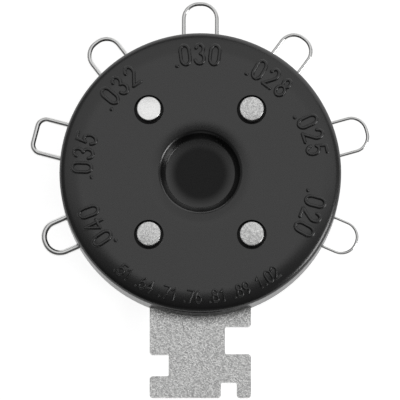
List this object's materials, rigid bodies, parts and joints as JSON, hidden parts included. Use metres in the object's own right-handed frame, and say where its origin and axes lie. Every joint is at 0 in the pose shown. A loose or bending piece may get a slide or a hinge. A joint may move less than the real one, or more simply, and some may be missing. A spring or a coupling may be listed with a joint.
{
  "type": "spark plug gap gauge",
  "caption": "Round riveted body with bent gauge wires of graded thickness round its edge and a notched bending blade below.",
  "frame": {"origin": "centre of the back cover's flat back face", "axes": "+Z along the body's axis towards the numbered front face, +Y away from the blade, +X to the right seen from the front"},
  "size_m": [0.0539, 0.0633, 0.0102],
  "materials": {
    "cover": "satin",
    "blade": "matte",
    "wire": "polished",
    "rivet": "satin"
  },
  "bodies": {
    "root": {"front_cover": "cover", "back_cover": "cover", "blade_plate": "blade", "wire_020": "wire", "wire_025": "wire", "wire_028": "wire", "wire_030": "wire", "wire_032": "wire", "wire_035": "wire", "wire_040": "wire", "rivet_upper_left": "rivet", "rivet_upper_right": "rivet", "rivet_lower_left": "rivet", "rivet_lower_right": "rivet"}
  },
  "joints": []
}
